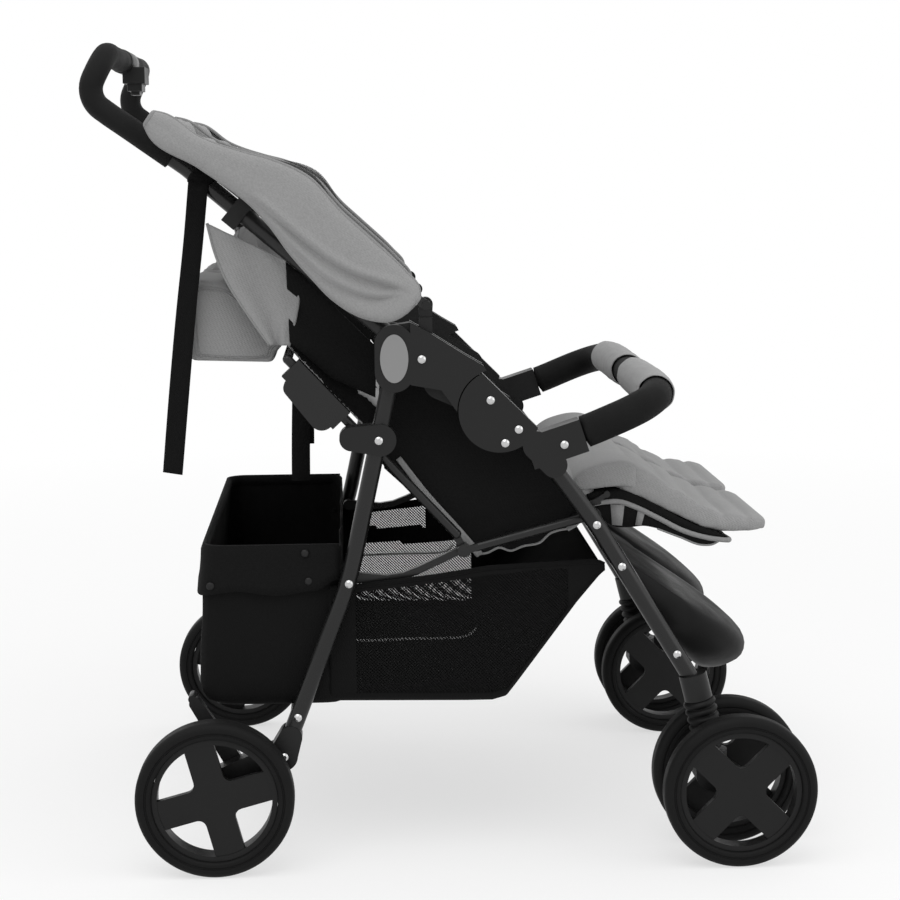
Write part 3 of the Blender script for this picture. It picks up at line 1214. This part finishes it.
def tub_line(x):
    """From the near rim down, across the floor and up to the far rim."""
    floor, rim, half = tub_floor(x), tub_rim(x), 296.0
    corner = min(22, 0.4 * (rim - floor))
    wall = [(-half, z) for z in np.linspace(rim, floor + corner, 26)]
    bend = [(-half + corner - corner * math.cos(a), floor + corner - corner * math.sin(a))
            for a in np.linspace(0, math.pi / 2, 7)[1:]]
    base = [(y, floor) for y in np.linspace(-half + corner, 0, 16)[1:]]
    side = wall + bend + base
    line = []
    for y, z in side + [(-y, z) for y, z in side[-2::-1]]:
        edge = soft_step(abs(y), 270, 296) * math.sin(math.pi * min(1, (rim - z) / max(rim - floor, 1)))
        bulge = 4.0 * edge * noise.noise(Vector((x * 0.014, 0.3 * math.copysign(1, y), z * 0.02)))
        sag = -2.0 * (1 - (y / half) ** 2) * soft_step(rim - floor, 20, 120)
        line.append(mm(x, y + bulge * math.copysign(1, y), max(z + sag * (z < floor + 2), 200.5)))
    return line


mesh = bmesh.new()
tub_stations = np.concatenate([np.linspace(-157, 52, 66), np.linspace(56, 196, 56)])
loft(mesh, [tub_line(x) for x in tub_stations], closed=False)
front_tub = make_piece("basket_front_tub", mesh, BASKET_CLOTH, "rear_legs", thickness=1.6)
marks = front_tub.data.attributes.new("window", "FLOAT", "POINT")


def net_share(x, y, z):
    """1 where the cloth is net: most of the near wall, and two windows in the far one."""
    floor, rim = tub_floor(x), tub_rim(x)
    near = y < -286 and -124 < x < 150 and floor + 14 < z < rim - 7
    low = y > 286 and -120 < x < 60 and floor + 8 < z < 303
    high = y > 286 and -120 < x < -10 and 328 < z < rim - 8
    return float(near or low or high)


marks.data.foreach_set("value", [net_share(*(v.co / MM)) for v in front_tub.data.vertices])
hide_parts("basket_front")
mesh = bmesh.new()
for side in (NEAR, FAR):
    rim = [mm(x, 296 * side, tub_rim(x)) for x in np.linspace(-155, 195, 62)]
    loft(mesh, tube_rings(rim, 3.0 * MM, 10))
rim_binding = make_piece("basket_rim_binding", mesh, WEBBING, "rear_legs")
mesh = bmesh.new()
for side in (NEAR, FAR):
    seam = smooth_path([mm(x, 291 * side, z) for x, z in SEAM], 60)
    loft(mesh, tube_rings(seam, 1.6 * MM, 8))
seams = make_piece("basket_pale_seams", mesh, SEAM_TAPE, "rear_legs")
for piece in (front_tub, rim_binding, seams):
    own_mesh(piece)
print("front tub points:", len(front_tub.data.vertices))

# %% [markdown]
# ## The recline strap
# Behind each backrest a loop of webbing hangs down; pulling it sets the slope of the back.
# It is a flat band whose middle line goes down, turns over a small round, and comes up again.

# %% Recline straps
DROP = [(-176, 630), (-176.5, 580), (-177, 520), (-177, 484), (-181, 476), (-185, 484), (-185, 520), (-186, 580),
        (-187, 630)]
BAND_SECTION = [(-12, 0), (-11.4, 0.7), (0, 0.8), (11.4, 0.7), (12, 0), (11.4, -0.7), (0, -0.8), (-11.4, -0.7)]
drop_line = smooth_path([mm(0, y, z) for y, z in DROP], 70)
for side, tag in SIDES:
    mesh = bmesh.new()
    rings = []
    for i, p in enumerate(drop_line):
        thin = heading(drop_line, i).cross(Vector((1, 0, 0))).normalized()
        slant = -188 - 4 * math.sin(i / 69 * math.pi)
        rings.append([Vector(((slant + a) * MM, (p.y + thin.y * b * MM) * -side, p.z + thin.z * b * MM))
                      for a, b in BAND_SECTION])
    loft(mesh, rings)
    recline = make_piece("recline_strap_" + tag, mesh, WEBBING, "back_" + tag)
print("recline straps made")

# %% [markdown]
# ## The foot tray
# Under the leg rests is a moulded tray with a rounded lobe for each child's feet. One side profile
# travels across the pushchair and shrinks between the lobes, so the two lobes and the valley are
# one smooth skin.

# %% Foot tray
TRAY_SIDE = [(214, 396), (238, 378), (314, 326), (368, 290), (396, 264), (402, 246), (396, 228), (370, 214),
             (338, 212), (288, 264), (224, 348), (206, 372)]
tray_profile = resample(rounded(TRAY_SIDE, 30, 5), 64)
TRAY_ROOT, TRAY_TIP, TRAY_VALLEY = (211, 384), 402, 270
LOBE_MIDDLE, LOBE_INNER, LOBE_OUTER = 153.75, 112, 142


def tray_ring(y):
    d = (abs(y) - LOBE_MIDDLE) / (LOBE_INNER if abs(y) < LOBE_MIDDLE else LOBE_OUTER)
    tip = TRAY_VALLEY + (TRAY_TIP - TRAY_VALLEY) * math.sqrt(max(1 - abs(d) ** 2.3, 0))
    k = (tip - TRAY_ROOT[0]) / (TRAY_TIP - TRAY_ROOT[0])
    ring = []
    for x, z in tray_profile:
        run, drop = x - TRAY_ROOT[0], z - TRAY_ROOT[1]
        crown = 3.0 * math.sin(math.pi * min(max(run / 190, 0), 1)) * (k - 0.4)
        along, below = run * (0.12 + 0.88 * k), drop * (0.15 + 0.85 * k)
        ring.append(mm(TRAY_ROOT[0] + along, y, TRAY_ROOT[1] + below + crown))
    return ring


mesh = bmesh.new()
tray_stations = runs((-293, -262, 12), (-262, -60, 30), (-60, 60, 33), (60, 262, 30), (262, 293, 12))
loft(mesh, [tray_ring(y) for y in tray_stations])
tray = make_piece("foot_tray_skin", mesh, TRAY_PLASTIC, "front_legs")
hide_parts("foot_tray")
print("tray points:", len(tray.data.vertices))

# %% [markdown]
# ## The floor and the light
# The studio is plain: a pale floor that fades into a white world, one broad soft lamp from above
# and a weaker one from the front. The white background is the colour of the world itself.


# %% Stage
def seen_directly(tree):
    """1 for what the camera sees itself, in a gloss or through something clear."""
    ray = wire(tree, "ShaderNodeLightPath").outputs
    beyond = maths(tree, "MAXIMUM", ray["Is Glossy Ray"], ray["Is Transmission Ray"])
    return maths(tree, "MAXIMUM", ray["Is Camera Ray"], beyond)


mesh = bmesh.new()
bmesh.ops.create_grid(mesh, x_segments=1, y_segments=1, size=14)
floor = make_piece("studio_floor", mesh, [])
made, tree, shader = finish_start("studio_white")
settle(shader, {"Base Color": grey(0.94), "Roughness": 0.9, "Specular IOR Level": 0.1})
floor_glow = wire(tree, "ShaderNodeEmission", [("Color", (1, 1, 1, 1)), ("Strength", 1.0)])
floor_place = wire(tree, "ShaderNodeTexCoord").outputs["Object"]
floor_far = wire(tree, "ShaderNodeVectorMath", [(0, floor_place)], operation="LENGTH").outputs["Value"]
floor_share = wire(tree, "ShaderNodeMapRange", [(0, floor_far), (1, 0.9), (2, 3.6), (3, 0.62), (4, 1.0)]).outputs[0]
glow_share = maths(tree, "MULTIPLY", seen_directly(tree), floor_share)
floor_mix = wire(tree, "ShaderNodeMixShader", [(0, glow_share), (1, shader.outputs[0]), (2, floor_glow.outputs[0])])
tree.links.new(floor_mix.outputs[0], tree.nodes["Material Output"].inputs["Surface"])
floor.data.materials.append(made)
world = bpy.data.worlds.new("studio")
scene.world = world
world.use_nodes = True
sky_tree = world.node_tree
sky = sky_tree.nodes["Background"]
sky.inputs["Color"].default_value = (1, 1, 1, 1)
sky_tree.links.new(maths(sky_tree, "MULTIPLY_ADD", seen_directly(sky_tree), 0.2, 0.8), sky.inputs["Strength"])
LAMPS = (("top_lamp", (-0.6, -1.6, 3.2), 2.6, 34), ("front_lamp", (2.6, -1.2, 1.6), 2.0, 12))
for label, where, size, power in LAMPS:
    lamp = bpy.data.objects.new(label, bpy.data.lights.new(label, "AREA"))
    lamp.data.energy, lamp.data.size = power, size
    lamp.location = where
    lamp.rotation_euler = (Vector((0, 0, 0.5)) - Vector(where)).to_track_quat("-Z", "Y").to_euler()
    scene.collection.objects.link(lamp)
